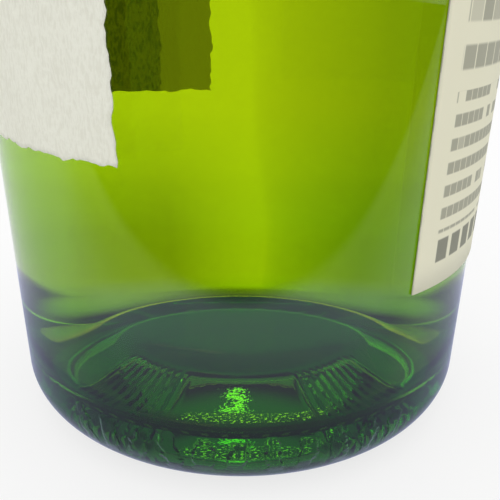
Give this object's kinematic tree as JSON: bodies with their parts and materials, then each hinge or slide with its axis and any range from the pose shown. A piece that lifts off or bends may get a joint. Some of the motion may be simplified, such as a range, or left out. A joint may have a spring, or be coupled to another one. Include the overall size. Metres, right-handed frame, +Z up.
{
  "type": "whisky bottle",
  "caption": "Round green glass whisky bottle with push-up base, filled, with a wide washi paper label, a back label and a screw cap.",
  "frame": {"origin": "centre of the base, on the surface that the bottle stands on", "axes": "+Z up along the bottle's axis; -Y towards the front, the middle of the wide label"},
  "size_m": [0.0826, 0.0825, 0.2884],
  "materials": {
    "green_glass": "clear green bottle glass",
    "whisky": "pale amber liquid",
    "washi_paper": "off-white handmade paper with fibres and deckled edges",
    "cream_paper": "smooth cream paper",
    "cap_metal": "satin black lacquer"
  },
  "bodies": {
    "root": {"bottle_glass": "green_glass", "whisky": "whisky", "front_label": "washi_paper", "back_label": "cream_paper", "screw_cap": "cap_metal", "tamper_band": "cap_metal"}
  },
  "joints": []
}
